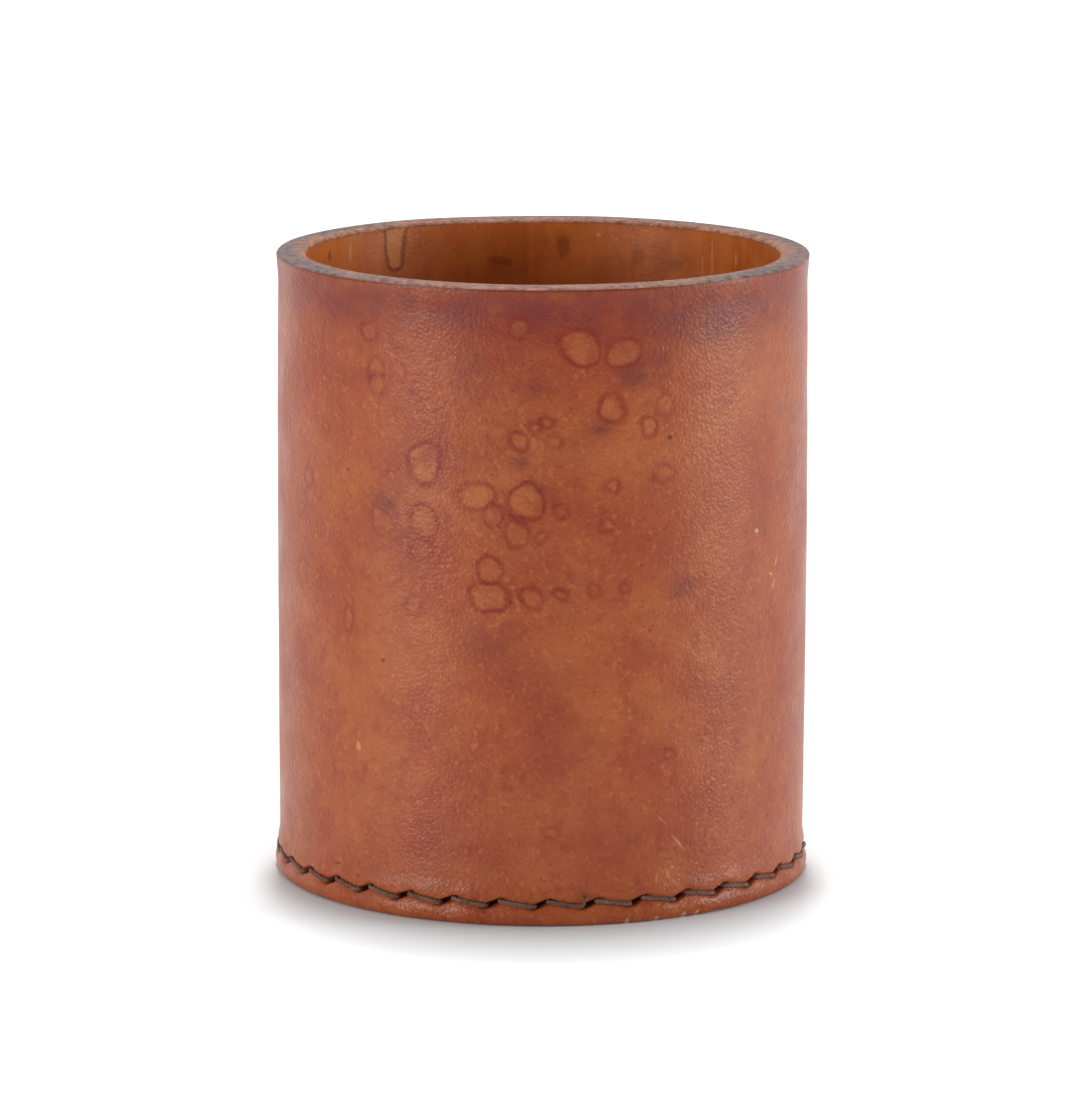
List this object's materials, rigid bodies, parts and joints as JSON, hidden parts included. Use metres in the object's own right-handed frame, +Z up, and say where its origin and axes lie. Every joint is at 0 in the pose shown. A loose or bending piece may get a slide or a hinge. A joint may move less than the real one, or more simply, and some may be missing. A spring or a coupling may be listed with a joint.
{
  "type": "pencil cup",
  "caption": "Round open pencil cup of thick brown leather: a rolled wall with a scarf seam at the back, saddle-stitched round its foot to a dished leather base.",
  "frame": {"origin": "middle of the foot, on the surface that the cup stands on", "axes": "+Z up along the cup's axis, -Y towards the front, where the thread ends, +Y towards the back, where the scarf seam is"},
  "size_m": [0.0868, 0.0867, 0.101],
  "materials": {
    "wall_leather": "mottled cognac leather with ring stains, waxed to a soft sheen",
    "base_leather": "plain vegetable-tanned leather, wet-formed, satin",
    "waxed_thread": "waxed linen thread, twisted, matt"
  },
  "bodies": {
    "root": {"wall_panel": "wall_leather", "base_dish": "base_leather", "saddle_thread": "waxed_thread"}
  },
  "joints": []
}
